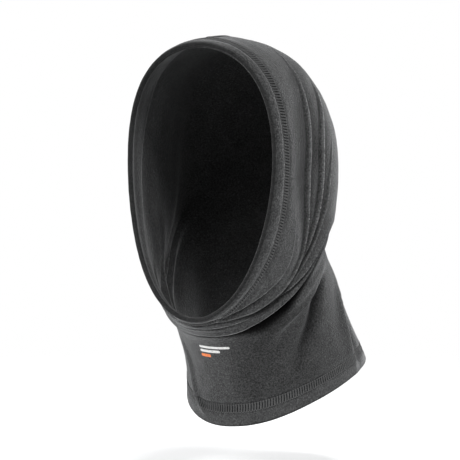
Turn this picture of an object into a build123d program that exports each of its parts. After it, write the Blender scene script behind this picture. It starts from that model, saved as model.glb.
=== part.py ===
"""Tubular fleece balaclava, in the shape it takes when a head wears it as a hood.

One knitted tube runs from a neck hem up over the head to a face hem. Both hems are turned inwards
and coverstitched; the tube is closed by a flatlocked join seam down the middle of the back.

Row frame, in millimetres: the origin is the middle of the head that wears it, +Z is up, the face
looks along -Y and the wearer's left is +X. The shape is mirror symmetric about X = 0, apart from
the printed mark.

Every piece is laid on one design surface, the outer face of the cloth. A point on it is given by
a turn u, from 0 at the throat to pi at the back of the head, and a station v, from 0 at the neck
hem's edge to LAST at the face hem's edge.
"""

from build123d import *
import math
import os

# Cloth, thread and trim thicknesses.
CLOTH = 1.8
PLAY = 0.15
NEEDLE_THREAD = 0.5
LOOPER_THREAD = 0.6
FILM = 0.3
LABEL_CLOTH = 0.25

# The gap between the join seam's two needle lines.
FLATLOCK_GAUGE = 5.0

# Trim sizes. A stripe of the printed mark runs from one x to another.
LABEL_WIDTH = 22.0
LABEL_LENGTH = 30.0
LABEL_GAP = 1.6
STRIPE_HEIGHT = 2.2
STRIPE_PITCH = 3.6
STRIPES = {"upper": (-15.0, 15.0), "middle": (-15.0, 5.0), "lower": (-15.0, -5.0)}

# Loops of the tube, from the neck hem's edge to the face hem's edge. Each row is
# (throat y, throat z), (back y, back z), half width, how far the sides lift along the tube,
# how much narrower the throat side is than the back, and how square the loop is.
LOOPS = [
    ((-8.0, -217.5), (157.0, -168.0), 75.0, 13.0, 0.00, 0.00),
    ((-10.0, -197.0), (147.0, -152.0), 71.5, 10.5, 0.00, 0.00),
    ((-17.0, -170.0), (127.0, -122.0), 69.0, 5.0, 0.00, 0.00),
    ((-26.0, -150.0), (104.0, -90.0), 68.0, 0.0, 0.00, 0.00),
    ((-34.0, -140.0), (86.0, -60.0), 68.5, -4.0, 0.02, 0.00),
    ((-38.5, -136.8), (71.0, -33.0), 69.5, -8.0, 0.03, 0.01),
    ((-41.0, -134.8), (73.5, -2.0), 73.0, -11.0, 0.05, 0.02),
    ((-43.0, -133.3), (79.0, 34.0), 76.0, -13.0, 0.06, 0.03),
    ((-44.8, -132.0), (68.5, 71.0), 77.5, -14.0, 0.08, 0.04),
    ((-46.5, -130.8), (35.0, 98.0), 78.5, -13.0, 0.09, 0.04),
    ((-48.5, -129.5), (-5.0, 105.5), 77.5, -11.0, 0.11, 0.03),
    ((-51.0, -127.8), (-31.5, 104.0), 75.0, -9.0, 0.13, 0.03),
    ((-57.0, -124.0), (-50.0, 100.0), 72.0, -7.0, 0.13, 0.03),
]
LAST = len(LOOPS) - 1

# Stations of the sewing: each hem's raw edge is one loop in from its folded edge. A margin keeps
# a looper band off its needle threads, a turn-up off the fold, and the join seam off the hems'.
NECK_RAW_EDGE = 1.0
FACE_RAW_EDGE = LAST - 1.0
NECK_NEEDLE_LINES = (0.62, 0.94)
FACE_NEEDLE_LINES = (LAST - 0.96, LAST - 0.64)
LOOPER_MARGIN = 0.05
FOLD_MARGIN = 0.02
JOIN_SEAM_MARGIN = 0.06

# Stations and turns of the trim.
MARK_STATION = 3.05
MARK_TURN = 0.02
LABEL_STATION = 1.05

# How finely the design surface is sampled.
TURN_STEPS = 28
STATION_STEP = 0.25
STRIPE_TURN_STEP = 0.05
THREAD_SIDES = 6
NUDGE = 1e-4


def loop_at(v):
    """The six loop values at station v, by a Catmull-Rom curve through the rows of LOOPS."""
    rows = [[*throat, *back, *rest] for throat, back, *rest in LOOPS]
    i = max(0, min(int(v), LAST - 1))
    t = v - i
    here, there = rows[i], rows[i + 1]
    before = rows[i - 1] if i else [2 * a - b for a, b in zip(here, there)]
    after = rows[i + 2] if i + 2 <= LAST else [2 * b - a for a, b in zip(here, there)]
    return [
        0.5 * (2 * b + (c - a) * t + (2 * a - 5 * b + 4 * c - d) * t**2 + (3 * b - a - 3 * c + d) * t**3)
        for a, b, c, d in zip(before, here, there, after)
    ]


def surface(u, v):
    """The design surface's point at turn u and station v."""
    throat_y, throat_z, back_y, back_z, half_width, lift, narrow, square = loop_at(v)
    half_y, half_z = (back_y - throat_y) / 2, (back_z - throat_z) / 2
    depth = math.hypot(half_y, half_z)
    x = half_width * (math.sin(u) + square * math.sin(3 * u)) / (1 - square)
    rise = lift * math.sin(u) ** 2
    return Vector(
        x * (1 - narrow * math.cos(u)),
        throat_y + half_y * (1 - math.cos(u)) - rise * half_z / depth,
        throat_z + half_z * (1 - math.cos(u)) + rise * half_y / depth,
    )


def around(u, v):
    """The unit direction round the tube, towards a larger turn."""
    return (surface(u + NUDGE, v) - surface(u - NUDGE, v)).normalized()


def along(u, v):
    """The unit direction up the tube, towards the face hem."""
    return (surface(u, v + NUDGE) - surface(u, v - NUDGE)).normalized()


def outward(u, v):
    """The unit normal, away from the head."""
    return around(u, v).cross(along(u, v)).normalized()


def off_surface(u, v, height):
    """A point that stands off the design surface, or lies under it where height is negative."""
    return surface(u, v) + outward(u, v) * height


def steps(start, end, step):
    """Evenly spaced values from start to end, at most step apart."""
    count = math.ceil(abs(end - start) / step - 1e-9)
    return [start + (end - start) * i / count for i in range(count + 1)]


def both_halves(half):
    """A half ring, from the throat to the back, joined to its mirror image."""
    return half + half.mirror(Plane.YZ)


def wall(v_start, v_end, top, bottom):
    """A ring of cloth between two stations and between two heights off the design surface."""
    stations = steps(v_start, v_end, STATION_STEP)
    sections = []
    for u in steps(0, math.pi, math.pi / TURN_STEPS):
        outer = Spline(*[off_surface(u, v, top) for v in stations])
        inner = Spline(*[off_surface(u, v, bottom) for v in stations])
        rims = [Line(outer @ end, inner @ end) for end in (0, 1)]
        sections.append(Wire([outer, rims[1], inner, rims[0]]))
    return both_halves(Solid.make_loft(sections))


def ribbon(path, half_width, bottom, top):
    """A flat band laid along a path of (u, v) points, between two heights off the surface."""
    sections = []
    for i, (u, v) in enumerate(path):
        ahead = path[min(i + 1, len(path) - 1)]
        behind = path[max(i - 1, 0)]
        run = around(u, v) * (ahead[0] - behind[0]) * half_turn_length(v)
        run += along(u, v) * (ahead[1] - behind[1]) * station_length(u, v)
        normal = outward(u, v)
        side = normal.cross(run).normalized() * half_width
        low, high = off_surface(u, v, bottom), off_surface(u, v, top)
        sections.append(Wire.make_polygon([low - side, low + side, high + side, high - side]))
    return Solid.make_loft(sections)


def half_turn_length(v):
    """Roughly how long one radian of turn is at station v."""
    return loop_at(v)[4]


def station_length(u, v):
    """How long one station is at (u, v)."""
    return (surface(u, v + NUDGE) - surface(u, v - NUDGE)).length / (2 * NUDGE)


def thread(path, height):
    """A needle thread laid along a path of (u, v) points, its middle at a height."""
    points = [off_surface(u, v, height) for u, v in path]
    sections = []
    for i, (place, point) in enumerate(zip(path, points)):
        ahead = points[min(i + 1, len(points) - 1)]
        behind = points[max(i - 1, 0)]
        run = Vector(1, 0, 0) if on_mirror_plane(place) else ahead - behind
        sections.append(thread_section(point, outward(*place), run.normalized()))
    return Solid.make_loft(sections)


def thread_section(point, up, run):
    """A regular polygon about a point of a thread, square to the way the thread runs."""
    across = run.cross(up).normalized() * NEEDLE_THREAD / 2
    upright = across.cross(run)
    turns = [math.tau * i / THREAD_SIDES for i in range(THREAD_SIDES)]
    return Wire.make_polygon([point + across * math.cos(t) + upright * math.sin(t) for t in turns])


def on_mirror_plane(place):
    """True where a path round the tube starts or ends, at the throat or the middle of the back."""
    return place[0] in (0, math.pi)


def ring_path(v):
    """Half way round the tube at station v, from the throat to the back."""
    return [(u, v) for u in steps(0, math.pi, math.pi / TURN_STEPS)]


def back_path(v_start, v_end, shift=0.0):
    """Up the middle of the back between two stations, or beside it by a shift in millimetres."""
    return [
        (math.pi - shift / half_turn_length(v), v) for v in steps(v_start, v_end, STATION_STEP)
    ]


def hem_stitching(name, lines):
    """A hem's coverstitch: two needle threads and the looper thread laid across them outside."""
    height = NEEDLE_THREAD / 2 + PLAY
    low, high = min(lines), max(lines)
    return {
        f"{name}_hem_needle_thread_lower": both_halves(thread(ring_path(low), height)),
        f"{name}_hem_needle_thread_upper": both_halves(thread(ring_path(high), height)),
        f"{name}_hem_looper_thread": wall(
            low + LOOPER_MARGIN, high - LOOPER_MARGIN, PLAY + LOOPER_THREAD, PLAY
        ),
    }


def join_seam():
    """The flatlock up the back: a looper band outside, and two needle threads beside it."""
    height = NEEDLE_THREAD / 2 + PLAY
    start = max(NECK_NEEDLE_LINES) + JOIN_SEAM_MARGIN
    end = min(FACE_NEEDLE_LINES) - JOIN_SEAM_MARGIN
    half_band = FLATLOCK_GAUGE / 2 - NEEDLE_THREAD
    return {
        "join_seam_needle_thread_left": thread(back_path(start, end, FLATLOCK_GAUGE / 2), height),
        "join_seam_needle_thread_right": thread(back_path(start, end, -FLATLOCK_GAUGE / 2), height),
        "join_seam_looper_thread": ribbon(
            back_path(start, end), half_band, PLAY, PLAY + LOOPER_THREAD
        ),
    }


def care_label():
    """A blank care label folded in half, caught under the neck hem's raw edge at the back."""
    end_station = LABEL_STATION + LABEL_LENGTH / station_length(math.pi, LABEL_STATION)
    path = back_path(LABEL_STATION, end_station)
    top = -CLOTH - LABEL_GAP
    return ribbon(path, LABEL_WIDTH / 2, top - 2 * LABEL_CLOTH, top)


def printed_mark():
    """A plain transfer print on the throat: three stripes in two colours, with no lettering."""
    turn_length = half_turn_length(MARK_STATION)
    drop = STRIPE_PITCH / station_length(MARK_TURN, MARK_STATION)
    stripes = {}
    for row, (name, (left, right)) in enumerate(STRIPES.items()):
        v = MARK_STATION - row * drop
        ends = [MARK_TURN + x / turn_length for x in (left, right)]
        path = [(u, v) for u in steps(*ends, STRIPE_TURN_STEP)]
        stripes[name] = ribbon(path, STRIPE_HEIGHT / 2, PLAY, PLAY + FILM)
    return {
        "print_film_pale": Compound([stripes["upper"], stripes["middle"]]),
        "print_film_orange": stripes["lower"],
    }


def hem_turn_up(v_start, v_end):
    """The layer of cloth that a hem turns in, against the inside of the tube."""
    top = -CLOTH - PLAY
    return wall(v_start, v_end, top, top - CLOTH)


pieces = {
    "fleece_tube": wall(0, LAST, 0, -CLOTH),
    "neck_hem_turn_up": hem_turn_up(FOLD_MARGIN, NECK_RAW_EDGE),
    "face_hem_turn_up": hem_turn_up(FACE_RAW_EDGE, LAST - FOLD_MARGIN),
    **hem_stitching("neck", NECK_NEEDLE_LINES),
    **hem_stitching("face", FACE_NEEDLE_LINES),
    **join_seam(),
    "care_label": care_label(),
    **printed_mark(),
}

os.makedirs("parts", exist_ok=True)
for node, piece in pieces.items():
    export_step(piece, f"parts/{node}.step")
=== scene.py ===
import math

import bpy
import numpy as np
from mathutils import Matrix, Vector, noise


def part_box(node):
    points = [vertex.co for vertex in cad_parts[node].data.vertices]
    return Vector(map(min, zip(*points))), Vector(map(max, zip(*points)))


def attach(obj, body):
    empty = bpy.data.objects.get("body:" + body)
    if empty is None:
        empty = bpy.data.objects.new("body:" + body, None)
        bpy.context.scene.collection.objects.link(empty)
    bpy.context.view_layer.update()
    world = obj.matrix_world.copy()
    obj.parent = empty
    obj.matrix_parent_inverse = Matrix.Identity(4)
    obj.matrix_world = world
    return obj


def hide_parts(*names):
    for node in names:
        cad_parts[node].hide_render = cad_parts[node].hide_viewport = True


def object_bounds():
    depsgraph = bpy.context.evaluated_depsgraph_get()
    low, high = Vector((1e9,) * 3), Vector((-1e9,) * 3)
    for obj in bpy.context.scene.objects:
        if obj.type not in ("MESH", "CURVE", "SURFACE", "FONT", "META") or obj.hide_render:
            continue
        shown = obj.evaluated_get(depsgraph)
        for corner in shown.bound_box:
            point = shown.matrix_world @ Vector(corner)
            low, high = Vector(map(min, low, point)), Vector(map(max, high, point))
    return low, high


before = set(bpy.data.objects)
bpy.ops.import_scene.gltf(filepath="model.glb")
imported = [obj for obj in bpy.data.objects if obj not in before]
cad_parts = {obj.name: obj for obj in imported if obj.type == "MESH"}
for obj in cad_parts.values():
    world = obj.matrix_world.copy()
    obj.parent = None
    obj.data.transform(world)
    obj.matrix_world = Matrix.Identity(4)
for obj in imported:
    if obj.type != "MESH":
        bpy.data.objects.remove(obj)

# A fleece balaclava, worn as a hood: one folded tube of cloth with coverstitched hems, a flatlocked
# join seam, a care label and a small printed mark. Shapes are worked out in millimetres on the same
# design surface as the CAD model, and put in metres into the CAD tube's own box.
#
# A place on the cloth is a turn u, from 0 at the throat to pi at the back and negative on the
# wearer's right, and a station v, from 0 at the neck hem's edge to LAST at the face hem's edge.

CAD_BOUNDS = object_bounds()
CAD_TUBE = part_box("fleece_tube")
BODY = "root"

# Each row is (throat y, throat z, back y, back z, half width, how far the sides lift along the
# tube, how much narrower the throat side is than the back, how square the loop is).
LOOPS = np.array([
    (-8.0, -217.5, 157.0, -168.0, 75.0, 13.0, 0.00, 0.00),
    (-10.0, -197.0, 147.0, -152.0, 71.5, 10.5, 0.00, 0.00),
    (-17.0, -170.0, 127.0, -122.0, 69.0, 5.0, 0.00, 0.00),
    (-26.0, -150.0, 104.0, -90.0, 68.0, 0.0, 0.00, 0.00),
    (-34.0, -140.0, 86.0, -60.0, 68.5, -4.0, 0.02, 0.00),
    (-38.5, -136.8, 71.0, -33.0, 69.5, -8.0, 0.03, 0.01),
    (-41.0, -134.8, 73.5, -2.0, 73.0, -11.0, 0.05, 0.02),
    (-43.0, -133.3, 79.0, 34.0, 76.0, -13.0, 0.06, 0.03),
    (-44.8, -132.0, 68.5, 71.0, 77.5, -14.0, 0.08, 0.04),
    (-46.5, -130.8, 35.0, 98.0, 78.5, -13.0, 0.09, 0.04),
    (-48.5, -129.5, -5.0, 105.5, 77.5, -11.0, 0.11, 0.03),
    (-51.0, -127.8, -31.5, 104.0, 75.0, -9.0, 0.13, 0.03),
    (-57.0, -124.0, -50.0, 100.0, 72.0, -7.0, 0.13, 0.03),
])
LAST = len(LOOPS) - 1

# Cloth and hems, in millimetres and stations.
CLOTH = 1.8
HEM_GAP = 0.3
ROLL_RADIUS = 2.1
NECK_EDGE, FACE_EDGE = 0.1, LAST - 0.2
NECK_RAW_EDGE, FACE_RAW_EDGE = 1.0, LAST - 1.35
HALF_SEAM = 0.16

# The middle of each hem's seam, through (turn in degrees, station) points from throat to back.
NECK_SEAM = [(0, 0.78), (180, 0.78)]
FACE_SEAM = [(0, 10.9), (24, 10.88), (40, 10.82), (66, 10.62), (82, 10.8), (105, 11.05), (130, 11.12),
             (180, 11.15)]

# Fold lines that run round the tube, in order from the neck to the face. "line" goes through
# (turn in degrees, station) points from the throat to the back. "folds" says what the cloth does
# there, through (turn, crest, face side's depth, its width, neck side's depth, its width) points:
# a narrow ridge on the line, and on each side of it a valley, or a long slope where the depth is
# below 0. "overhang" is how far the line hangs over the valley on its neck side, as a share of
# that valley's depth, and "shade" is how dark the painted shade in that valley is.
FOLD_LINES = [
    # The bunch of cloth that hangs under the jaw and round the nape.
    dict(
        line=[(0, 4.5), (16, 4.6), (28, 5.0), (36, 5.5), (44, 5.9), (53, 6.2), (65, 6.4), (73, 6.65),
              (80, 6.9), (90, 7.0), (105, 6.6), (130, 5.6), (155, 4.95), (180, 4.75)],
        folds=[(0, 0.7, -1.0, 4, 3.0, 2.6), (25, 0.9, -1.2, 5, 4.0, 5.0), (40, 1.1, -1.3, 7, 4.6, 11.5),
               (55, 1.3, -1.6, 8, 5.2, 13.5), (70, 1.5, -1.8, 9, 5.2, 12.5), (84, 1.5, -1.8, 9, 4.6, 9.5),
               (100, 0.9, -1.4, 9, 3.0, 8.0), (118, 0.3, -1.0, 10, 1.6, 10.0),
               (140, 0.0, -0.4, 12, 0.7, 12.0), (180, 0.0, -0.3, 12, 0.5, 13.0)],
        overhang=0.1, shade=3.0),
    # A pleat under the chin, and a short one behind the jaw.
    dict(
        line=[(0, 8.7), (10, 8.2), (20, 7.8), (30, 7.5), (40, 7.35), (50, 7.45), (56, 7.36), (64, 7.18),
              (74, 7.12), (90, 7.3), (120, 7.1), (180, 6.8)],
        folds=[(0, 0.6, -0.6, 3, 2.6, 2.6), (12, 0.7, -0.6, 3, 2.8, 2.6), (22, 0.6, -0.4, 3, 2.0, 2.6),
               (32, 0.0, 0.0, 4, 0.4, 2.6), (42, 0.3, 0.0, 4, 0.4, 2.6), (52, 1.1, -0.6, 4, 3.2, 3.2),
               (64, 1.2, -0.6, 4, 3.4, 3.2), (76, 0.6, -0.2, 4, 1.4, 3.2), (88, 0.0, 0.0, 4, 0.0, 3.2)],
        overhang=0.1, shade=1.6),
    # Three long ridges up the side of the head. The last one ends as a deep pleat over the chin.
    dict(
        line=[(0, 9.4), (16, 8.7), (31, 7.8), (46, 7.6), (55, 7.52), (62, 7.64), (72, 7.76), (81, 7.9),
              (92, 8.07), (101, 8.3), (125, 8.4), (180, 8.1)],
        folds=[(56, 0.0, 0.0, 5, 0.0, 5), (64, 1.0, 0.8, 5, 0.6, 5), (78, 1.6, 1.5, 8, 0.8, 8),
               (92, 1.5, 1.5, 10, 0.7, 10), (104, 1.0, 0.9, 11, 0.4, 10), (124, 0.0, 0.0, 11, 0.0, 10)],
        overhang=0.0, shade=1.5),
    dict(
        line=[(0, 10.2), (16, 9.4), (31, 8.1), (46, 7.74), (55, 7.68), (62, 7.82), (67, 8.02), (74, 8.2),
              (82, 8.38), (90, 8.6), (98, 8.8), (106, 8.95), (130, 8.96), (180, 8.9)],
        folds=[(58, 0.0, 0.0, 4, 0.0, 4), (66, 1.2, 1.0, 5, 0.9, 5), (80, 2.1, 2.2, 10, 1.6, 8),
               (96, 2.3, 2.5, 12, 2.0, 10), (114, 2.3, 2.3, 13, 1.8, 11), (128, 1.6, 1.4, 13, 1.0, 11),
               (146, 0.0, 0.0, 13, 0.0, 9)],
        overhang=0.0, shade=1.5),
    dict(
        line=[(0, 10.95), (11, 10.8), (16, 10.2), (21, 9.5), (26, 8.95), (32, 8.35), (38, 8.08), (46, 7.9),
              (55, 7.87), (61, 7.98), (67, 8.22), (73, 8.6), (79, 8.97), (86, 9.33), (93, 9.53),
              (104, 9.62), (144, 9.64), (180, 9.6)],
        folds=[(0, 0.6, -0.6, 4, 2.8, 2.6), (12, 0.7, -0.6, 4, 3.0, 2.6), (24, 0.9, -0.8, 5, 3.8, 3.0),
               (32, 1.2, -0.9, 6, 5.0, 4.2), (42, 1.5, -0.8, 6, 5.5, 4.8), (50, 1.5, 0.0, 6, 3.6, 4.4),
               (58, 1.6, 0.9, 6, 1.8, 4.0), (70, 2.0, 1.8, 9, 1.8, 6), (84, 2.2, 2.5, 16, 2.2, 9),
               (100, 2.2, 2.6, 20, 2.3, 12), (118, 2.1, 2.4, 21, 2.0, 12), (134, 1.4, 1.4, 18, 1.2, 12),
               (152, 0.3, 0.3, 14, 0.3, 12), (166, 0.0, 0.0, 14, 0.0, 12)],
        overhang=0.05, shade=1.6),
    # The soft ridge behind the face hem's chin end, which ends as the hem's own fold over the chin.
    dict(
        line=[(0, 11.5), (14, 11.42), (21, 10.95), (27, 10.35), (33, 9.9), (39, 9.45), (46, 9.1), (54, 8.85),
              (61, 8.95), (70, 9.35), (80, 9.85), (92, 10.1), (106, 10.25), (130, 10.25), (180, 10.25)],
        folds=[(0, 0.4, -0.4, 3, 1.4, 2.4), (18, 0.6, -0.5, 3, 2.2, 2.6), (32, 0.9, -0.7, 4, 2.8, 3.4),
               (48, 0.9, -0.6, 5, 1.1, 4.0), (60, 0.5, 0.0, 5, 0.4, 4.0), (74, 0.1, 0.0, 5, 0.1, 5.0),
               (86, 0.0, 0.0, 6, 0.0, 7.0)],
        overhang=0.05, shade=1.6),
]

# The shape across a fold line, in millimetres: the crest's half width, the half width of the painted
# highlight line on it, how soon a valley reaches its depth, and how far an overhang reaches on the
# neck side and on the face side.
CREST_WIDTH = 1.1
HIGHLIGHT_LINE_WIDTH = 0.75
LIP = 1.5
HANG_REACH = (1.2, 4.5)

# How squarely a valley ends: a power of 2 makes a bell, and a larger one a flat floor with steep
# ends. The neck side's power grows with the valley's depth, until that is DEEP_VALLEY millimetres.
FACE_SIDE_POWER = 2.8
NECK_SIDE_POWER, NECK_SIDE_GAIN = 1.5, 2.0
DEEP_VALLEY = 3.0
BUMP_POWER = 1.9

# On the wearer's right the fold lines wander by a share of a station, and the folds' strength
# varies by a share, in waves as they go round.
LINE_WANDER = 0.22
STRENGTH_WANDER = 0.2
WANDER_WAVES = 5

# Rows of points in each band of cloth between the cloth's end, the neck edge, the fold lines, the
# face edge and the other end; how much closer they lie at a band's ends; and points round each row.
BAND_ROWS = (2, 64, 26, 17, 15, 19, 24, 46, 2)
CLOSENESS = 0.55
TURNS = 300

# Rows of points in the inner face, the face hem's turn-up and the neck hem's turn-up, the steps in
# a hem's rolled edge, and how far the rows stay from a raw edge, in stations.
INNER_ROWS = 72
FACE_TURN_UP_ROWS, NECK_TURN_UP_ROWS = 14, 12
ROLL_STEPS = 9
RAW_EDGE_MARGIN = 0.02

# The inner face follows the lowest cloth within a few points, blurred over some rounds.
INNER_REACH = 4
INNER_BLUR = 14
SLIDE_BLUR = 3

# Soft rolls that run round the back: (turn, station, height) points, and the widths on the neck
# side and the face side.
ROLLS = [
    dict(path=[(96, 3.5, 0.0), (130, 3.5, 1.6), (160, 3.5, 2.6), (180, 3.5, 2.8)], widths=(12.0, 8.0)),
    dict(path=[(88, 5.2, 0.0), (120, 5.6, 1.2), (150, 5.8, 1.8), (180, 5.8, 2.0)], widths=(7.0, 12.0)),
    dict(path=[(48, 4.0, 0.0), (62, 4.55, 1.6), (80, 4.95, 2.4), (99, 4.8, 2.2), (125, 4.4, 0.0)],
         widths=(10.0, 5.0)),
]

# Flutes that run along the tube: (station, turn, height) points, and the widths towards smaller
# and larger turns.
FLUTES = [
    dict(path=[(1.1, 49, 0.0), (1.7, 56, -1.6), (2.3, 64, -3.6), (2.96, 76, -4.8), (3.96, 91, -5.0),
               (4.6, 100, 0.0)], widths=(9.0, 6.5)),
    dict(path=[(1.6, 26, 0.0), (2.4, 34, 1.0), (3.1, 43, 2.2), (3.8, 58, 3.0), (4.25, 77, 3.0),
               (4.6, 92, 1.0), (4.9, 104, 0.0)], widths=(7.0, 7.0)),
    dict(path=[(0.0, 99, 0.4), (0.95, 101, 1.8), (1.6, 104, 3.2), (2.2, 108, 3.9), (2.84, 118, 3.4),
               (3.8, 128, 0.0)], widths=(9.0, 2.6)),
    dict(path=[(0.0, 105, -0.3), (0.95, 107, -1.8), (1.6, 110, -3.6), (2.2, 114, -4.2), (2.84, 124, -3.2),
               (3.6, 134, 0.0)], widths=(2.6, 9.0)),
    dict(path=[(0.1, -15, 0.0), (0.6, -20, 1.6), (1.15, -27, 2.3), (1.9, -30, 2.1), (2.5, -33, 1.6),
               (3.2, -37, 0.0)], widths=(6.0, 3.5)),
    dict(path=[(1.0, -58, 0.0), (1.8, -64, -2.6), (2.8, -76, -3.8), (3.7, -88, -2.6), (4.4, -96, 0.0)],
         widths=(8.0, 8.0)),
    dict(path=[(0.0, -112, 1.0), (1.2, -106, 2.6), (2.2, -108, 3.0), (3.2, -116, 1.4), (3.9, -120, 0.0)],
         widths=(6.0, 10.0)),
    dict(path=[(0.0, 158, 0.6), (1.4, 156, 1.8), (2.6, 154, 1.4), (3.6, 150, 0.0)], widths=(12.0, 9.0)),
    dict(path=[(0.0, -160, 0.6), (1.2, -156, 1.6), (2.4, -152, 1.2), (3.4, -150, 0.0)], widths=(9.0, 12.0)),
]

# How dark the painted shade in a flute's hollow is, next to a fold line's valley of the same depth.
FLUTE_SHADE = 0.75

# Soft ripples: (height, first and last station, how softly they end, cells round the tube, cell
# length, seed). They are long ones round the hood, ones on the neck, and small ones everywhere.
RIPPLES = [
    (0.5, 4.8, 10.2, 1.6, 7, 16.0, 11.3),
    (0.9, 1.2, 3.6, 1.0, 9, 30.0, 5.1),
    (0.16, 0, LAST, 1.0, 60, 8.0, 23.9),
]

# The neck hem's edge also waves up and down.
EDGE_WAVE = 1.3
EDGE_WAVE_STATIONS = (0.0, 0.6, 1.4)
EDGE_WAVE_CELLS = (9, 1.0, 31.4)

# The sewing pulls each hem into a shallow channel, with a soft roll of cloth on both sides of it.
# The stitches pucker it by a share of its depth.
CHANNEL_DEPTH, CHANNEL_WIDTH = 0.9, 3.2
CHANNEL_ROLL_HEIGHT, CHANNEL_ROLL_MIDDLE, CHANNEL_ROLL_WIDTHS = 0.35, 5.5, (2.0, 4.0)
CHANNEL_SOFTNESS = 0.3
PUCKER = 0.4
PUCKER_CELLS = (130, 30.0, 3.7)
JOIN_CHANNEL_DEPTH, JOIN_CHANNEL_WIDTH = 0.5, 3.0
JOIN_CHANNEL_STATIONS = (0.95, LAST - 1, 0.2)

# The last few millimetres of the face hem curl in towards the head, most of all at the back.
CURL_DEPTH, CURL_REACH = 1.3, 5.5

# Sewing, in millimetres: the length of a stitch, the threads' radii, how much higher the looper
# thread lies than its stitch says, and half of the join seam's width.
STITCH = 2.35
LOOPER_RADIUS = 0.36
NEEDLE_RADIUS = 0.24
LOOPER_LAYER = 0.12
JOIN_HALF_GAUGE = 2.5

# Where the needle threads lie, as a share of a seam's half width; how far the join seam stays off
# the hems' seams, in stations; and how thick its layers are, as a share of a hem's.
NEEDLE_ACROSS = 0.94
JOIN_MARGIN = 0.06
JOIN_LAYERS = 0.52


# ---- The folded cloth ----

def unit(vectors):
    return vectors / np.maximum(np.linalg.norm(vectors, axis=-1, keepdims=True), 1e-9)


def through(x, knots, values):
    """A smooth curve through (knot, value) points, level beyond both ends."""
    knots, values = np.asarray(knots, float), np.asarray(values, float)
    slopes = np.gradient(values, knots)
    slopes[[0, -1]] = 0
    i = np.clip(np.searchsorted(knots, x) - 1, 0, len(knots) - 2)
    width = knots[i + 1] - knots[i]
    t = np.clip((x - knots[i]) / width, 0, 1)
    start = (1 + 2 * t) * (1 - t) ** 2 * values[i] + t * (1 - t) ** 2 * width * slopes[i]
    end = t**2 * (3 - 2 * t) * values[i + 1] + t**2 * (t - 1) * width * slopes[i + 1]
    return start + end


def loop_at(v):
    """The eight loop values at stations v, by a Catmull-Rom curve through the rows of LOOPS."""
    rows = np.vstack([2 * LOOPS[0] - LOOPS[1], LOOPS, 2 * LOOPS[-1] - LOOPS[-2]])
    i = np.clip(v.astype(int), 0, LAST - 1)
    t = (v - i)[..., None]
    a, b, c, d = (rows[i + k] for k in range(4))
    return 0.5 * (2 * b + (c - a) * t + (2 * a - 5 * b + 4 * c - d) * t**2 + (3 * b - a - 3 * c + d) * t**3)


def design_surface(u, v):
    """The smooth surface that the folds are laid on."""
    throat_y, throat_z, back_y, back_z, half_width, lift, narrow, square = np.moveaxis(loop_at(v), -1, 0)
    half_y, half_z = (back_y - throat_y) / 2, (back_z - throat_z) / 2
    depth = np.hypot(half_y, half_z)
    rise = lift * np.sin(u) ** 2
    x = half_width * (np.sin(u) + square * np.sin(3 * u)) / (1 - square) * (1 - narrow * np.cos(u))
    y = throat_y + half_y * (1 - np.cos(u)) - rise * half_z / depth
    z = throat_z + half_z * (1 - np.cos(u)) + rise * half_y / depth
    return np.stack([x, y, z], -1)


def directions(points):
    """Unit directions round the tube and along it, and the outward normal, at a grid's points."""
    around = unit(np.roll(points, -1, 1) - np.roll(points, 1, 1))
    along = unit(np.gradient(points, axis=0))
    return around, along, unit(np.cross(around, along))


def bump(distance, low_width, high_width):
    """A rounded ridge of height 1, with its own width on each side."""
    return np.exp(-np.abs(distance / np.where(distance < 0, low_width, high_width)) ** BUMP_POWER)


def noise_on(u, run, cells_round, cell_length, seed):
    """Smooth noise from about -1 to 1 that closes round the tube, in cells of the given size."""
    radius = cells_round / math.tau
    points = np.stack([np.cos(u) * radius, np.sin(u) * radius, run / cell_length], -1).reshape(-1, 3) + seed
    values = [noise.noise(Vector(p)) for p in points]
    return np.array(values).reshape(u.shape)


def between(x, low, high, soft):
    """1 between low and high, falling smoothly to 0 outside over the distance soft."""
    return smooth_step((x - low) / soft + 1) * smooth_step((high - x) / soft + 1)


def smooth_step(x):
    x = np.clip(x, 0, 1)
    return x**2 * (3 - 2 * x)


def path_at(x, points):
    """The other columns of a list of points, read at x, which is their first column."""
    knots, *columns = zip(*points)
    return [through(x, knots, column) for column in columns]


def seam_at(turns, seam):
    """The station of the middle of a hem's seam at turns in radians."""
    return path_at(np.abs(np.degrees(turns)), seam)[0]


def falls_differently(degrees):
    """-1 to 1 on the wearer's right and 0 on the left, so that the two sides aren't twins."""
    return np.where(degrees < 0, np.sin(WANDER_WAVES * np.radians(degrees)), 0.0)


def grid_stations(degrees):
    """The station of every point of the grid, and the rows of the edges and fold lines."""
    shift = LINE_WANDER * falls_differently(degrees)
    lines = [path_at(np.abs(degrees), fold["line"])[0] + shift for fold in FOLD_LINES]
    edges = [np.full(TURNS, v) for v in (0.0, NECK_EDGE)]
    edges += lines + [np.full(TURNS, v) for v in (FACE_EDGE, float(LAST))]
    rows = []
    for low, high, count in zip(edges, edges[1:], BAND_ROWS):
        share = np.arange(count) / count
        share = (share - CLOSENESS / math.tau * np.sin(math.tau * share))[:, None]
        rows.append(low * (1 - share) + high * share)
    return np.vstack([*rows, edges[-1]]), np.cumsum(BAND_ROWS)[:-1]


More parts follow.
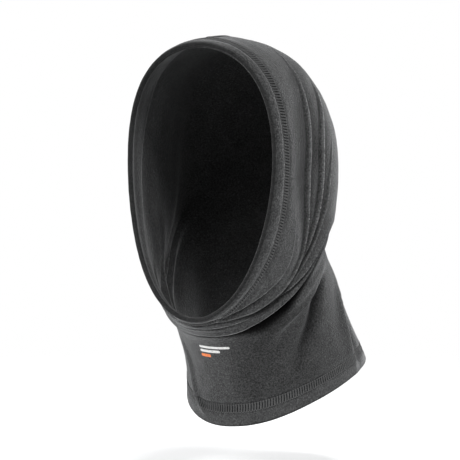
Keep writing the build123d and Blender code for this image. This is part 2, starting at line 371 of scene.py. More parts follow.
def press_fold(fold, degrees, distance):
    """One fold line's lift and slide, the painted shade of its valleys and its painted highlight line."""
    strength = 1 + STRENGTH_WANDER * falls_differently(degrees)
    crest, face_depth, face_width, neck_depth, neck_width = path_at(np.abs(degrees), fold["folds"])
    neck_power = NECK_SIDE_POWER + NECK_SIDE_GAIN * smooth_step(neck_depth / DEEP_VALLEY)
    face_reach = np.exp(-(np.abs(distance) / face_width) ** FACE_SIDE_POWER)
    neck_reach = np.exp(-(np.abs(distance) / neck_width) ** neck_power)
    face_side = smooth_step(distance / LIP) * face_reach
    neck_side = smooth_step(-distance / LIP) * neck_reach
    ridge = np.exp(-(distance / CREST_WIDTH) ** 2)
    hang = np.exp(-(distance / np.where(distance < 0, *HANG_REACH)) ** 2)
    highlight_line = np.exp(-(distance / HIGHLIGHT_LINE_WIDTH) ** 2)

    lift = crest * ridge - face_depth * face_side - neck_depth * neck_side
    slide = -fold["overhang"] * np.maximum(neck_depth, 0) * hang
    # The valleys' depths below become painted shade, and the crest's thin line becomes a painted highlight.
    dark_face = np.maximum(face_depth, 0) * (distance > 0) * (1 - highlight_line) * face_reach
    dark_neck = np.maximum(neck_depth, 0) * neck_side * fold["shade"]
    return strength * np.array([lift, slide, dark_face + dark_neck, crest * highlight_line])


def blurred(grid, rounds):
    """A grid of values smoothed along and round the tube."""
    for _ in range(rounds):
        padded = np.pad(grid, ((1, 1), (0, 0)), mode="edge")
        grid = (2 * grid + padded[:-2] + padded[2:]) / 4
        grid = (2 * grid + np.roll(grid, 1, 1) + np.roll(grid, -1, 1)) / 4
    return grid


def lowest_nearby(grid, reach):
    """Each point's lowest neighbour within a few rows and columns."""
    padded = np.pad(grid, ((reach, reach), (0, 0)), mode="edge")
    grid = np.min([padded[k : k + len(grid)] for k in range(2 * reach + 1)], axis=0)
    return np.min([np.roll(grid, k, 1) for k in range(-reach, reach + 1)], axis=0)


class Cloth:
    """The folded cloth: grids of points on its outer and inner faces, which can be read anywhere."""

    def __init__(self):
        self.turns = np.linspace(-math.pi, math.pi, TURNS, endpoint=False)
        degrees = np.degrees(self.turns)
        self.stations, line_rows = grid_stations(degrees)
        self.neck_row, *self.fold_rows, self.face_row = line_rows
        u = np.broadcast_to(self.turns, self.stations.shape)
        self.flat = design_surface(u, self.stations)
        steps = np.linalg.norm(np.diff(self.flat, axis=0), axis=-1)
        self.run = np.vstack([np.zeros(TURNS), np.cumsum(steps, axis=0)])
        lift, slide = self.folds(u, degrees)
        around, along, outward = directions(self.flat)
        self.points = self.flat + outward * lift[..., None] + along * slide[..., None]
        low = blurred(lowest_nearby(lift, INNER_REACH), INNER_BLUR) - CLOTH
        inner_slide = blurred(slide, SLIDE_BLUR)
        self.inner = self.flat + outward * low[..., None] + along * inner_slide[..., None]
        self.along, self.normals = directions(self.points)[1:]
        self.outward = outward

    def run_at(self, stations):
        """How far along the tube a station lies on each turn, in millimetres."""
        columns = zip(np.broadcast_to(stations, TURNS), self.stations.T, self.run.T)
        return np.array([np.interp(station, column, run) for station, column, run in columns])

    def folds(self, u, degrees):
        """How far the folds, flutes, channels, curl and ripples lift the cloth and slide it."""
        v, run = self.stations, self.run
        radian = np.linalg.norm(np.roll(self.flat, -1, 1) - np.roll(self.flat, 1, 1), axis=-1)
        radian /= 2 * math.tau / TURNS
        fold_distances = [run - run[row] for row in self.fold_rows]
        shapes = [press_fold(fold, degrees, gap) for fold, gap in zip(FOLD_LINES, fold_distances)]
        # Besides lift and slide, the folds give how deep the painted shade goes and how strong the painted
        # highlight is.
        lift, slide, self.valley, self.ridge = np.sum(shapes, axis=0)
        for roll in ROLLS:
            station, height = path_at(np.abs(degrees), roll["path"])
            lift += height * bump(run - self.run_at(station), *roll["widths"])
        for flute in FLUTES:
            turn, height = path_at(v, flute["path"])
            shape = height * bump((u - np.radians(turn)) * radian, *flute["widths"])
            lift += shape
            self.valley += np.maximum(-shape, 0) * FLUTE_SHADE
        lift += self.hem_channel(u, NECK_SEAM, -1, NECK_RAW_EDGE + 0.4)
        lift += self.hem_channel(u, FACE_SEAM, LAST - 2.0, LAST + 1)
        lift -= self.join_channel(u, radian)
        lift -= CURL_DEPTH * smooth_step(1 - (run[-1] - run) / CURL_REACH) * np.sin(u / 2) ** 2
        for height, start, end, soft, *cells in RIPPLES:
            lift += height * between(v, start, end, soft) * noise_on(u, run, *cells)
        slide += EDGE_WAVE * between(v, *EDGE_WAVE_STATIONS) * noise_on(u, run * 0, *EDGE_WAVE_CELLS)
        return lift, slide

    def hem_channel(self, u, seam, start, end):
        """The channel along a hem's seam and the rolls beside it, between two stations."""
        distance = self.run - self.run_at(seam_at(self.turns, seam))
        channel = -CHANNEL_DEPTH * bump(distance, CHANNEL_WIDTH, CHANNEL_WIDTH)
        from_roll = np.abs(distance) - CHANNEL_ROLL_MIDDLE
        channel += CHANNEL_ROLL_HEIGHT * bump(from_roll, *CHANNEL_ROLL_WIDTHS)
        pucker = 1 + PUCKER * noise_on(u, self.run, *PUCKER_CELLS)
        return channel * pucker * between(self.stations, start, end, CHANNEL_SOFTNESS)

    def join_channel(self, u, radian):
        """How deep the join seam pulls the cloth in down the middle of the back."""
        from_middle = (np.abs(u) - math.pi) * radian
        depth = JOIN_CHANNEL_DEPTH * bump(from_middle, JOIN_CHANNEL_WIDTH, JOIN_CHANNEL_WIDTH)
        return depth * between(self.stations, *JOIN_CHANNEL_STATIONS)

    def read(self, grid, u, v):
        """A grid's values at turns u and stations v."""
        u, v = np.broadcast_arrays(np.asarray(u, float), np.asarray(v, float))
        column = (u + math.pi) / math.tau * TURNS
        j = np.floor(column).astype(int)
        share = (column - j).reshape(u.shape + (1,) * (grid.ndim - 2))
        return self.read_column(grid, j, v) * (1 - share) + self.read_column(grid, j + 1, v) * share

    def read_column(self, grid, j, v):
        """A grid's values at stations v of the columns j."""
        j = j % TURNS
        i = np.clip((self.stations[:, j] <= v).sum(0) - 1, 0, len(self.stations) - 2)
        low, high = self.stations[i, j], self.stations[i + 1, j]
        share = ((v - low) / (high - low)).reshape(v.shape + (1,) * (grid.ndim - 2))
        return grid[i, j] * (1 - share) + grid[i + 1, j] * share

    def at(self, u, v, height=0.0, beyond=0.0):
        """Points that stand off the cloth by height, and past its edge by beyond."""
        point = self.read(self.points, u, v) + self.normal(u, v) * np.asarray(height)[..., None]
        return point + unit(self.read(self.along, u, v)) * np.asarray(beyond)[..., None]

    def inside(self, u, v, height=0.0):
        """Points that stand off the cloth's inner face by height, or towards the head below 0."""
        outward = unit(self.read(self.outward, u, v))
        return self.read(self.inner, u, v) + outward * np.asarray(height)[..., None]

    def normal(self, u, v):
        return unit(self.read(self.normals, u, v))


cloth = Cloth()


# ---- Making pieces ----

def placed(points):
    """Millimetres on the design surface to metres in the row frame, inside the CAD tube's box."""
    low, high = cloth.flat.min((0, 1)), cloth.flat.max((0, 1))
    cad_low, cad_high = (np.array(corner) for corner in CAD_TUBE)
    return cad_low + (np.asarray(points) - low) * (cad_high - cad_low) / (high - low)


def piece_from(name, points, faces, material, replaces=(), smooth=True):
    """A mesh piece that rides on the hood's one body."""
    mesh = bpy.data.meshes.new(name)
    mesh.from_pydata(placed(points).tolist(), [], faces)
    mesh.polygons.foreach_set("use_smooth", [smooth] * len(mesh.polygons))
    mesh.materials.append(material)
    piece = bpy.data.objects.new(name, mesh)
    bpy.context.scene.collection.objects.link(piece)
    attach(piece, BODY)
    if replaces:
        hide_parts(*replaces)
    return piece


def paint(piece, name, values):
    """Gives each of a mesh's points a value that its material reads."""
    attribute = piece.data.attributes.new(name, "FLOAT", "POINT")
    attribute.data.foreach_set("value", np.ravel(values).astype(float))


def grid_faces(rows, columns, close_rows=False, close_columns=False):
    """Quads over a grid of points, stored row by row."""
    faces = []
    for i in range(rows if close_rows else rows - 1):
        for j in range(columns if close_columns else columns - 1):
            below, above = i * columns, (i + 1) % rows * columns
            right = (j + 1) % columns
            faces.append((below + j, below + right, above + right, above + j))
    return faces


def thread_mesh(path, across, radius, sides=6, closed=False):
    """Points and faces of a round thread along a path; across is any direction square to it."""
    path, across = np.asarray(path), np.asarray(across)
    if closed:
        run = np.roll(path, -1, 0) - np.roll(path, 1, 0)
    else:
        run = np.gradient(path, axis=0)
    run = unit(run)
    side = unit(np.cross(run, across))
    up = np.cross(side, run)
    turns = np.arange(sides) / sides * math.tau
    rings = path[:, None] + radius * (
        side[:, None] * np.cos(turns)[:, None] + up[:, None] * np.sin(turns)[:, None]
    )
    faces = grid_faces(len(path), sides, close_rows=closed, close_columns=True)
    if not closed:
        faces += [tuple(range(sides))[::-1], tuple((len(path) - 1) * sides + k for k in range(sides))]
    return rings.reshape(-1, 3), faces


# ---- Materials ----

SHEEN_ROUGHNESS = 0.4
FLEECE_SHEEN = 0.5
SHEEN_GREY = 0.75

# How much the fleece's grain, its fibres and its larger patches each vary its colour.
GRAIN_SHARE, FIBRE_SHARE, PATCH_SHARE = 0.68, 0.20, 0.12
# The coarse grain has more contrast than the fine one, and a middle value a little higher.
COARSE_CONTRAST, COARSE_SHIFT = 1.15, -0.06


class Shader:
    """A node material under construction, with short ways to add the nodes used here."""

    def __init__(self, name, roughness, sheen=0.0, specular=0.5):
        self.material = bpy.data.materials.new(name)
        self.material.use_nodes = True
        self.nodes = self.material.node_tree.nodes
        self.links = self.material.node_tree.links
        self.surface = self.nodes["Principled BSDF"]
        self.surface.inputs["Roughness"].default_value = roughness
        self.surface.inputs["Specular IOR Level"].default_value = specular
        self.surface.inputs["Sheen Weight"].default_value = sheen
        self.surface.inputs["Sheen Roughness"].default_value = SHEEN_ROUGHNESS
        self.surface.inputs["Sheen Tint"].default_value = (*grey(SHEEN_GREY), 1)
        self.place = self.nodes.new("ShaderNodeTexCoord").outputs["Object"]

    def noise(self, scale, detail=2.0, rough=0.5, stretch=(1, 1, 1)):
        """Noise whose cells are about 1 / scale metres across."""
        mapping = self.nodes.new("ShaderNodeMapping")
        mapping.inputs["Scale"].default_value = stretch
        self.links.new(self.place, mapping.inputs["Vector"])
        texture = self.nodes.new("ShaderNodeTexNoise")
        texture.inputs["Scale"].default_value = scale
        texture.inputs["Detail"].default_value = detail
        texture.inputs["Roughness"].default_value = rough
        self.links.new(mapping.outputs["Vector"], texture.inputs["Vector"])
        return texture.outputs["Fac"]

    def painted(self, name):
        """A value that the mesh holds at each of its points."""
        node = self.nodes.new("ShaderNodeAttribute")
        node.attribute_name = name
        return node.outputs["Fac"]

    def math(self, operation, a, b):
        node = self.nodes.new("ShaderNodeMath")
        node.operation = operation
        for socket, value in zip(node.inputs, (a, b)):
            self.fill(socket, value)
        return node.outputs[0]

    def mix(self, share, a, b):
        """a where share is 0 and b where it is 1."""
        node = self.nodes.new("ShaderNodeMix")
        for socket, value in zip(node.inputs, (share, None, a, b)):
            if value is not None:
                self.fill(socket, value)
        return node.outputs[0]

    def fill(self, socket, value):
        if isinstance(value, (int, float)):
            socket.default_value = value
        else:
            self.links.new(value, socket)

    def ramp(self, factor, stops):
        """Colours laid over a factor; each stop is (position, (r, g, b))."""
        node = self.nodes.new("ShaderNodeValToRGB")
        elements = node.color_ramp.elements
        while len(elements) < len(stops):
            elements.new(0.5)
        for element, (position, colour) in zip(elements, stops):
            element.position = position
            element.color = (*colour, 1)
        self.links.new(factor, node.inputs[0])
        return node.outputs[0]

    def scaled(self, colour, amount):
        """A colour made lighter or darker by an amount."""
        node = self.nodes.new("ShaderNodeVectorMath")
        node.operation = "SCALE"
        self.links.new(colour, node.inputs[0])
        self.links.new(amount, node.inputs["Scale"])
        return node.outputs[0]

    def colour(self, socket):
        self.links.new(socket, self.surface.inputs["Base Color"])

    def bumps(self, *layers):
        """Bump layers, each (height, strength, distance in metres)."""
        normal = None
        for height, strength, distance in layers:
            node = self.nodes.new("ShaderNodeBump")
            node.inputs["Strength"].default_value = strength
            node.inputs["Distance"].default_value = distance
            self.links.new(height, node.inputs["Height"])
            if normal:
                self.links.new(normal, node.inputs["Normal"])
            normal = node.outputs["Normal"]
        self.links.new(normal, self.surface.inputs["Normal"])


def grey(value):
    """A neutral grey, a little cool."""
    return tuple(value * tint for tint in (0.99, 1.0, 1.01))


def fleece_material():
    """Brushed charcoal fleece: pebbled pile, fine fibre, coarser hems, painted shade and highlights."""
    shader = Shader("brushed_fleece", roughness=0.95, specular=0.05)
    pile = shader.noise(820, detail=2.0, rough=0.6)
    coarse = shader.noise(640, detail=1.5, rough=0.55)
    fibre = shader.noise(2600, detail=2.0, rough=0.6)
    patches = shader.noise(60, detail=2.0)
    coarse = shader.math("ADD", shader.math("MULTIPLY", coarse, COARSE_CONTRAST), COARSE_SHIFT)
    grain = shader.mix(shader.painted("coarseness"), pile, coarse)
    mottle = shader.math("MULTIPLY", grain, GRAIN_SHARE)
    for texture, share in ((fibre, FIBRE_SHARE), (patches, PATCH_SHARE)):
        mottle = shader.math("ADD", mottle, shader.math("MULTIPLY", texture, share))
    fleece = shader.ramp(mottle, [
        (0.36, grey(0.014)), (0.46, grey(0.032)), (0.54, grey(0.046)), (0.66, grey(0.082)),
    ])
    # Painted light and shade scale the fleece's colour and its sheen: painted shade in creases, under the
    # stitches and under the jaw, and painted highlights on crests and beside the face seam.
    painted_shading = shader.painted("painted_shading")
    shader.colour(shader.scaled(fleece, painted_shading))
    sheen = shader.math("MULTIPLY", painted_shading, FLEECE_SHEEN)
    shader.links.new(sheen, shader.surface.inputs["Sheen Weight"])
    shader.bumps((grain, 0.75, 0.0009), (fibre, 0.5, 0.0003))
    return shader.material


def thread_material():
    """Spun polyester thread, close to the fleece's colour, with its twist showing as fine streaks."""
    shader = Shader("spun_thread", roughness=0.6, sheen=0.3, specular=0.3)
    strands = shader.noise(3200, detail=2.0, stretch=(1, 1, 2.4))
    shader.colour(shader.ramp(strands, [(0.3, grey(0.028)), (0.52, grey(0.052)), (0.75, grey(0.085))]))
    shader.bumps((strands, 0.6, 0.0002))
    return shader.material


def label_material():
    """Woven satin label cloth with a fine rib across it."""
    shader = Shader("satin_label", roughness=0.42, sheen=0.2, specular=0.45)
    weave = shader.noise(2400, detail=1.0, stretch=(0.15, 1, 1))
    shader.colour(shader.ramp(weave, [(0.35, grey(0.030)), (0.65, grey(0.062))]))
    shader.bumps((weave, 0.45, 0.00015))
    return shader.material


def print_material(name, dark, light):
    """Matte transfer film, with the fleece's pile showing through it a little."""
    shader = Shader(name, roughness=0.55, specular=0.35)
    wear = shader.noise(900, detail=3.0, rough=0.6)
    shader.colour(shader.ramp(wear, [(0.34, dark), (0.5, light)]))
    shader.bumps((wear, 0.4, 0.0003))
    return shader.material


FLEECE = fleece_material()
THREAD = thread_material()
LABEL = label_material()
PALE_PRINT = print_material("pale_print", (0.36, 0.36, 0.36), (0.60, 0.60, 0.59))
ORANGE_PRINT = print_material("orange_print", (0.42, 0.10, 0.03), (0.66, 0.17, 0.045))


# ---- The cloth tube with its turned-in hems ----

# Painted light and shade, which scales the fleece's colour and sheen, where 1 is plain cloth and 0
# is black. A valley of CREASE_DEPTH millimetres is about two thirds dark with painted shade, and a
# crest gets a painted highlight. The stitches' ladders get painted shade. The face hem is painted
# pale beside its seam and darker towards the edge, and the hood above it a little pale. The neck is
# painted darker where the jaw shades it: between two stations and two turns in degrees, each with
# how softly it ends. The rolled face edge is painted in shade, and the inside has painted shade
# over its own darker tone.
CREASE_DEPTH, CREASE_POWER = 3.6, 1.4
CREST_HIGHLIGHT = 0.7
STITCH_SHADE = 0.55
HOOD_PAINTED_LIGHT = 1.05
BESIDE_FACE_SEAM, AT_FACE_EDGE = 1.3, 0.65
JAW_SHADE = 0.3
JAW_SHADE_STATIONS = (1.2, 4.0, 0.6)
JAW_SHADE_TURNS = (24, 105, 24)
EDGE_SHADE = 0.4
INSIDE_SHADE_AND_TONE = 0.58

# How coarse the pile is, from 0 to 1, and how softly the coarse stretches end, in stations.
FACE_HEM_COARSENESS = 0.75
NECK_EDGE_COARSENESS = 0.3
INSIDE_COARSENESS = 0.3
FACE_HEM_SOFTNESS = 0.08
NECK_EDGE_REACH = 0.3
STITCH_SOFTNESS = 0.05


def under_stitches():
    """1 under each hem's ladder of stitches, which gets painted shade, and 0 elsewhere, at the grid's
    points.
    """
    middles = [seam_at(cloth.turns, seam) for seam in (NECK_SEAM, FACE_SEAM)]
    return sum(
        between(cloth.stations, middle - HALF_SEAM, middle + HALF_SEAM, STITCH_SOFTNESS)
        for middle in middles
    )


def face_hem_shade():
    """The face hem's painted light and shade: pale beside its seam and darker towards the edge."""
    start = seam_at(cloth.turns, FACE_SEAM) + HALF_SEAM
    beyond = (cloth.stations - start) / (FACE_EDGE - start)
    hem = BESIDE_FACE_SEAM + (AT_FACE_EDGE - BESIDE_FACE_SEAM) * np.clip(beyond, 0, 1)
    return np.where(beyond > 0, hem, HOOD_PAINTED_LIGHT)


def painted_light_and_shade():
    """Painted light and shade: pale on crests, dark in creases, under stitches and under the jaw."""
    crease = 1 - np.exp(-(cloth.valley / CREASE_DEPTH) ** CREASE_POWER)
    crest = CREST_HIGHLIGHT * np.exp(-crease) * cloth.ridge
    under_jaw = between(cloth.stations, *JAW_SHADE_STATIONS)
    under_jaw = under_jaw * between(np.degrees(cloth.turns), *JAW_SHADE_TURNS)
    shades = (1 - STITCH_SHADE * under_stitches()) * (1 - JAW_SHADE * under_jaw)
    return (1 - crease + crest) * shades * face_hem_shade()


def coarseness():
    """How coarse the pile is: coarser past the face hem's seam and at the neck hem's edge."""
    start = seam_at(cloth.turns, FACE_SEAM) + HALF_SEAM
    face_hem = between(cloth.stations, start, LAST, FACE_HEM_SOFTNESS)
    neck_edge = between(cloth.stations, 0, NECK_EDGE_REACH, NECK_EDGE_REACH)
    return FACE_HEM_COARSENESS * face_hem + NECK_EDGE_COARSENESS * neck_edge


def rolled_edge(v, way):
    """Rows of points round a hem's rolled edge; way is 1 at the face hem and -1 at the neck hem."""
    middle = -CLOTH - HEM_GAP / 2
    reach = way * ROLL_RADIUS
    turns = np.linspace(0, math.pi, ROLL_STEPS)[1:-1]
    return [cloth.at(cloth.turns, v, middle + reach * math.cos(a), reach * math.sin(a)) for a in turns]


def inner_rows(start, end, count, height=0.0):
    """Rows of points on the cloth's inner face or on a hem's turn-up under it."""
    return [cloth.inside(cloth.turns, v, height) for v in np.linspace(start, end, count)]


def tube_piece():
    """One closed skin: outer face, rolled face edge, turn-up, raw edge, inner face, and back."""
    layer = -CLOTH - HEM_GAP
    raw_edge_heights = [layer + 0.25, layer / 2, -0.1]
    outer = range(cloth.neck_row, cloth.face_row + 1)
    face_raw, neck_raw = FACE_RAW_EDGE + RAW_EDGE_MARGIN, NECK_RAW_EDGE - RAW_EDGE_MARGIN
    hidden = rolled_edge(FACE_EDGE, 1)
    edge_rows = len(hidden)
    hidden += inner_rows(FACE_EDGE, face_raw, FACE_TURN_UP_ROWS, layer)
    hidden += [cloth.inside(cloth.turns, FACE_RAW_EDGE, height) for height in raw_edge_heights]
    hidden += inner_rows(FACE_RAW_EDGE - RAW_EDGE_MARGIN, NECK_RAW_EDGE + RAW_EDGE_MARGIN, INNER_ROWS)
    hidden += [cloth.inside(cloth.turns, NECK_RAW_EDGE, height) for height in raw_edge_heights[::-1]]
    hidden += inner_rows(neck_raw, NECK_EDGE, NECK_TURN_UP_ROWS, layer)
    hidden += rolled_edge(NECK_EDGE, -1)
    rows = [cloth.points[i] for i in outer] + hidden
    faces = grid_faces(len(rows), TURNS, close_rows=True, close_columns=True)
    tube = piece_from("fleece_tube_cloth", np.concatenate(rows), faces, FLEECE,
                      ("fleece_tube", "neck_hem_turn_up", "face_hem_turn_up"))
    # The hidden rows are painted darker: painted shade on the rolled face edge, and inside painted shade
    # over a darker own tone.
    inside = np.full((len(hidden), TURNS), INSIDE_SHADE_AND_TONE)
    inside[:edge_rows] = EDGE_SHADE
    paint(tube, "painted_shading", [*painted_light_and_shade()[outer], *inside])
    paint(tube, "coarseness", [*coarseness()[outer], *np.full_like(inside, INSIDE_COARSENESS)])
    return tube


# ---- Sewing ----

# One stitch of the looper thread, which goes up and back down side by side and then on to the next:
# (part of a stitch, across from -1 to 1, height over the cloth).
LOOPER_STITCH = [
    (0.00, -1.00, 0.24), (0.09, -0.50, 0.55), (0.18, 0.00, 0.68), (0.27, 0.50, 0.55), (0.36, 0.97, 0.26),
    (0.52, 1.08, 0.12), (0.66, 0.97, 0.26), (0.57, 0.50, 0.55), (0.48, 0.00, 0.68), (0.39, -0.50, 0.55),
    (0.32, -0.97, 0.24), (0.52, -1.08, 0.10), (0.82, -1.08, 0.10),
]
# One stitch of a needle thread: a small loop outside, and a straight run inside the cloth.
NEEDLE_STITCH = [
    (0.00, 0.22), (0.16, 0.46), (0.32, 0.22), (0.40, -1.6), (0.46, -3.6), (0.55, -4.25), (0.80, -4.25),
    (0.90, -3.6), (0.96, -1.6),
]


class Course:
    """A line of sewing along turns us and stations vs, counted in stitches."""

    def __init__(self, us, vs, across_v=0.0, across_gauge=0.0):
        self.us, self.vs = np.broadcast_arrays(np.asarray(us, float), np.asarray(vs, float))
        line = cloth.at(self.us, self.vs)
        self.run = np.concatenate([[0], np.cumsum(np.linalg.norm(np.diff(line, axis=0), axis=-1))])
        self.stitches = round(self.run[-1] / STITCH)
        self.across_v, self.across_gauge = across_v, across_gauge

    def places(self, stitch, across):
        """Turns and stations at stitch counts, set to one side by a share of the half gauge."""
        run = np.asarray(stitch) / self.stitches * self.run[-1]
        u, v = np.interp(run, self.run, self.us), np.interp(run, self.run, self.vs)
        half_width = loop_at(v)[..., 4]
        return u + across * self.across_gauge / half_width, v + across * self.across_v

    def thread(self, name, steps, radius, closed, replaces, layer):
        """A thread piece; steps is one stitch of (part, across, height)."""
        parts, across, heights = (np.tile(column, self.stitches) for column in zip(*steps))
        stitch = np.repeat(np.arange(self.stitches), len(steps)) + parts
        u, v = self.places(stitch, across)
        path = cloth.at(u, v, heights + layer)
        beside = cloth.at(*self.places(stitch, across + 0.05), heights + layer) - path
        reference = beside if np.ptp(across) == 0 else cloth.normal(u, v)
        points, faces = thread_mesh(path, reference, radius, closed=closed)
        return piece_from(name, points, faces, THREAD, (replaces,))


def sew(course, looper_name, needle_names, closed, depth):
    """A looper thread and two needle threads; depth is the layers' thickness as a share of a hem's."""
    looper_piece = looper_name + "_sewn"
    course.thread(looper_piece, LOOPER_STITCH, LOOPER_RADIUS, closed, looper_name, LOOPER_LAYER)
    for side, name in zip((-1, 1), needle_names):
        steps = [
            (part, side * NEEDLE_ACROSS, height if height > 0 else height * depth)
            for part, height in NEEDLE_STITCH
        ]
        course.thread(name + "_sewn", steps, NEEDLE_RADIUS, closed, name, 0.0)


def hem_seams():
    """The coverstitch round each hem."""
    turns = np.linspace(-math.pi, math.pi, 4 * TURNS + 1)
    for hem, seam in (("neck", NECK_SEAM), ("face", FACE_SEAM)):
        course = Course(turns, seam_at(turns, seam), across_v=HALF_SEAM)
        needles = [f"{hem}_hem_needle_thread_{side}" for side in ("lower", "upper")]
        sew(course, f"{hem}_hem_looper_thread", needles, True, 1.0)


def join_seam():
    """The flatlock up the middle of the back, from one hem's seam to the other's."""
    margin = HALF_SEAM + JOIN_MARGIN
    stations = np.linspace(NECK_SEAM[-1][1] + margin, FACE_SEAM[-1][1] - margin, 900)
    course = Course(math.pi, stations, across_gauge=-JOIN_HALF_GAUGE)
    needles = [f"join_seam_needle_thread_{side}" for side in ("left", "right")]
    sew(course, "join_seam_looper_thread", needles, False, JOIN_LAYERS)


# ---- Care label and printed mark ----

# The folded label, in millimetres: its size, how far it hangs off the cloth, how far its folded end
# curls in and its middle twists, and the gap between its halves at the fold and what the top adds.
LABEL_HALF_WIDTH = 11.0
LABEL_LENGTH = 30.0
LABEL_THICKNESS = 0.22
LABEL_DROP = 0.9
LABEL_CURL = 3.2
LABEL_TWIST = 0.7
LABEL_GAP = 0.3
LABEL_GAP_ADDED = 0.5

# The station where it starts, how far the twist's wave goes in radians, and its points each way.
LABEL_START = 1.04
LABEL_WAVE = 3.2
LABEL_COLUMNS, LABEL_ROWS = 25, 19

# The mark's place on the throat, and its stripes in millimetres: each one's ends are measured from
# there, positive towards the wearer's left, and each lies a pitch below the one before.
MARK_STATION = 3.05
MARK_TURN = 0.02
STRIPE_HEIGHT = 2.2
STRIPE_PITCH = 3.6
STRIPES = {"upper": (-15.0, 15.0), "middle": (-15.0, 5.0), "lower": (-15.0, -5.0)}
STRIPE_COLUMNS = 61
# Across a stripe of film: (side, from -1 to 1, height over the cloth).
FILM_PROFILE = [(-1, 0.02), (-0.94, 0.2), (-0.5, 0.24), (0, 0.25), (0.5, 0.24), (0.94, 0.2), (1, 0.02)]


def station_length(u, v):
    """How many millimetres a station is at a place on the cloth."""
    return float(np.linalg.norm(cloth.at(u, v + 0.1) - cloth.at(u, v - 0.1)) / 0.2)


def care_label():
    """A blank label: one strip folded in half, both ends caught under the neck hem's raw edge."""
    length = station_length(math.pi - 0.01, LABEL_START + 0.5)
    half_width = loop_at(np.array(LABEL_START))[4]
    across = np.linspace(-1, 1, LABEL_COLUMNS)
    u = math.pi - across * LABEL_HALF_WIDTH / half_width
    down = [(0, share) for share in np.linspace(0, 1, LABEL_ROWS)]
    back = [(1, share) for share in np.linspace(1, 0, LABEL_ROWS)]
    rows = []
    for layer, share in down + back:
        curl = LABEL_CURL * share**2 + LABEL_TWIST * math.sin(LABEL_WAVE * share) * across
        gap = LABEL_GAP + LABEL_GAP_ADDED * math.sqrt(max(0.0, 1 - share**6))
        height = -LABEL_DROP - curl - gap * layer
        rows.append(cloth.inside(u, LABEL_START + share * LABEL_LENGTH / length, height))
    faces = grid_faces(len(rows), len(across))
    label = piece_from("care_label_cloth", np.concatenate(rows), faces, LABEL, ("care_label",))
    thickness = label.modifiers.new("thickness", "SOLIDIFY")
    thickness.thickness = LABEL_THICKNESS / 1000
    return label


def printed_stripes(name, rows, material, replaces):
    """Thin film stripes that follow the cloth, with rounded ends."""
    length = station_length(MARK_TURN, MARK_STATION)
    half_width = loop_at(np.array(MARK_STATION))[4]
    points, faces = [], []
    for row in rows:
        left, right = STRIPES[row]
        v_middle = MARK_STATION - list(STRIPES).index(row) * STRIPE_PITCH / length
        x = np.linspace(left, right, STRIPE_COLUMNS)
        corner = STRIPE_HEIGHT / 2
        from_end = np.clip(np.minimum(x - left, right - x) / corner, 0, 1)
        half = corner * np.sqrt(np.clip(1 - (1 - from_end) ** 2, 0.02, 1))
        u = MARK_TURN + x / half_width
        film = [cloth.at(u, v_middle + side * half / length, height) for side, height in FILM_PROFILE]
        start = sum(len(p) for p in points)
        points.append(np.concatenate(film))
        faces += [tuple(start + k for k in face) for face in grid_faces(len(film), len(x))]
    return piece_from(name, np.concatenate(points), faces, material, (replaces,))


# ---- Studio ----

# Angles are in radians, and lengths in metres but for the lens.
CAMERA_AZIMUTH = math.radians(34)
CAMERA_ELEVATION = math.radians(4)
CAMERA_DISTANCE = 1.7
CAMERA_LENS = 161.0
AIM_BELOW_ORIGIN = 0.0537
SURROUND_LIGHT = 0.30
FLOOR_GAP = 0.055
FLOOR_GLOW = 0.35
FLOOR_FADE_START = 0.25
FLOOR_RADIUS = 0.9
FLOOR_MIDDLE = 0.04
LIGHT_TARGET = (0, 0.03, -0.05)


def aimed(thing, place, target):
    thing.location = place
    thing.rotation_euler = (Vector(target) - Vector(place)).to_track_quat("-Z", "Y").to_euler()


def camera():
    """The camera, on the wearer's left of the front and a little above, with a long lens."""
    away = Vector((
        math.sin(CAMERA_AZIMUTH) * math.cos(CAMERA_ELEVATION),
        -math.cos(CAMERA_AZIMUTH) * math.cos(CAMERA_ELEVATION),
        math.sin(CAMERA_ELEVATION),
    ))
    right = Vector((math.cos(CAMERA_AZIMUTH), math.sin(CAMERA_AZIMUTH), 0))
    target = -away.cross(right) * AIM_BELOW_ORIGIN
    data = bpy.data.cameras.new("camera")
    data.lens = CAMERA_LENS
    data.sensor_width = 36.0
    eye = bpy.data.objects.new("camera", data)
    aimed(eye, target + away * CAMERA_DISTANCE, target)
    bpy.context.scene.collection.objects.link(eye)
    bpy.context.scene.camera = eye


def softbox(name, place, size, power):
    data = bpy.data.lights.new(name, "AREA")
    data.shape = "DISK"
    data.size = size
    data.energy = power
    lamp = bpy.data.objects.new(name, data)
    aimed(lamp, place, LIGHT_TARGET)
    bpy.context.scene.collection.objects.link(lamp)


def surround():
    """A white surround, which lights the hood less than it shows."""
    world = bpy.data.worlds.new("surround")
    world.use_nodes = True
    nodes, links = world.node_tree.nodes, world.node_tree.links
    nodes["Background"].inputs["Color"].default_value = (1, 1, 1, 1)
    shown = nodes.new("ShaderNodeMapRange")
    shown.inputs["To Min"].default_value = SURROUND_LIGHT
    shown.inputs["To Max"].default_value = 1.0
    links.new(nodes.new("ShaderNodeLightPath").outputs["Is Camera Ray"], shown.inputs["Value"])
    links.new(shown.outputs["Result"], nodes["Background"].inputs["Strength"])
    bpy.context.scene.world = world
    bpy.context.scene.view_settings.view_transform = "Standard"


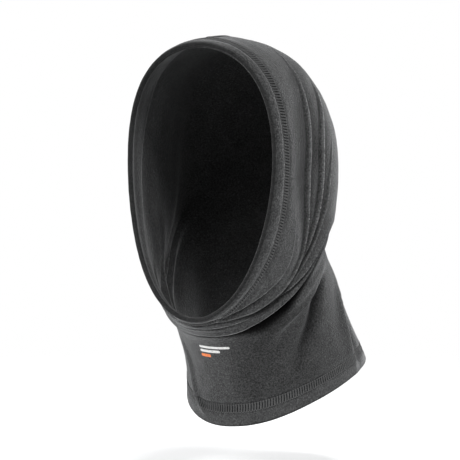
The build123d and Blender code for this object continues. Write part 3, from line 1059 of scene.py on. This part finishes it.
def floor_material():
    """Pale matte floor paint that fades out at the floor's rim."""
    shader = Shader("pale_floor", roughness=0.9, specular=0.1)
    shader.colour(shader.ramp(shader.noise(3.0), [(0.3, grey(0.88)), (0.7, grey(0.91))]))
    shader.surface.inputs["Emission Color"].default_value = (1, 1, 1, 1)
    shader.surface.inputs["Emission Strength"].default_value = FLOOR_GLOW
    distance = shader.nodes.new("ShaderNodeVectorMath")
    distance.operation = "LENGTH"
    shader.links.new(shader.place, distance.inputs[0])
    fade = shader.nodes.new("ShaderNodeMapRange")
    fade.interpolation_type = "SMOOTHSTEP"
    fade.inputs["From Min"].default_value = FLOOR_FADE_START
    fade.inputs["From Max"].default_value = FLOOR_RADIUS
    shader.links.new(distance.outputs["Value"], fade.inputs["Value"])
    mix = shader.nodes.new("ShaderNodeMixShader")
    shader.links.new(fade.outputs["Result"], mix.inputs[0])
    shader.links.new(shader.surface.outputs[0], mix.inputs[1])
    shader.links.new(shader.nodes.new("ShaderNodeBsdfTransparent").outputs[0], mix.inputs[2])
    shader.links.new(mix.outputs[0], shader.nodes["Material Output"].inputs["Surface"])
    return shader.material


def floor():
    turns = np.linspace(0, math.tau, 65)[:-1]
    rim = [(FLOOR_RADIUS * math.cos(a), FLOOR_RADIUS * math.sin(a), 0) for a in turns]
    mesh = bpy.data.meshes.new("floor")
    mesh.from_pydata(rim, [], [tuple(range(len(rim)))])
    mesh.materials.append(floor_material())
    disc = bpy.data.objects.new("floor", mesh)
    disc.location = (0, FLOOR_MIDDLE, CAD_BOUNDS[0][2] - FLOOR_GAP)
    bpy.context.scene.collection.objects.link(disc)


def studio():
    """A pale floor, a white surround, a soft light high in front and a lower one on each side."""
    surround()
    floor()
    softbox("high_light", (0.76, -0.72, 1.95), 0.8, 55)
    softbox("right_light", (-1.3, -1.1, 0.45), 0.7, 27)
    softbox("left_light", (1.6, -0.35, 0.0), 0.6, 11)


camera()
studio()
tube = tube_piece()
hem_seams()
join_seam()
label = care_label()
printed_stripes("pale_stripes", ("upper", "middle"), PALE_PRINT, "print_film_pale")
printed_stripes("orange_stripe", ("lower",), ORANGE_PRINT, "print_film_orange")
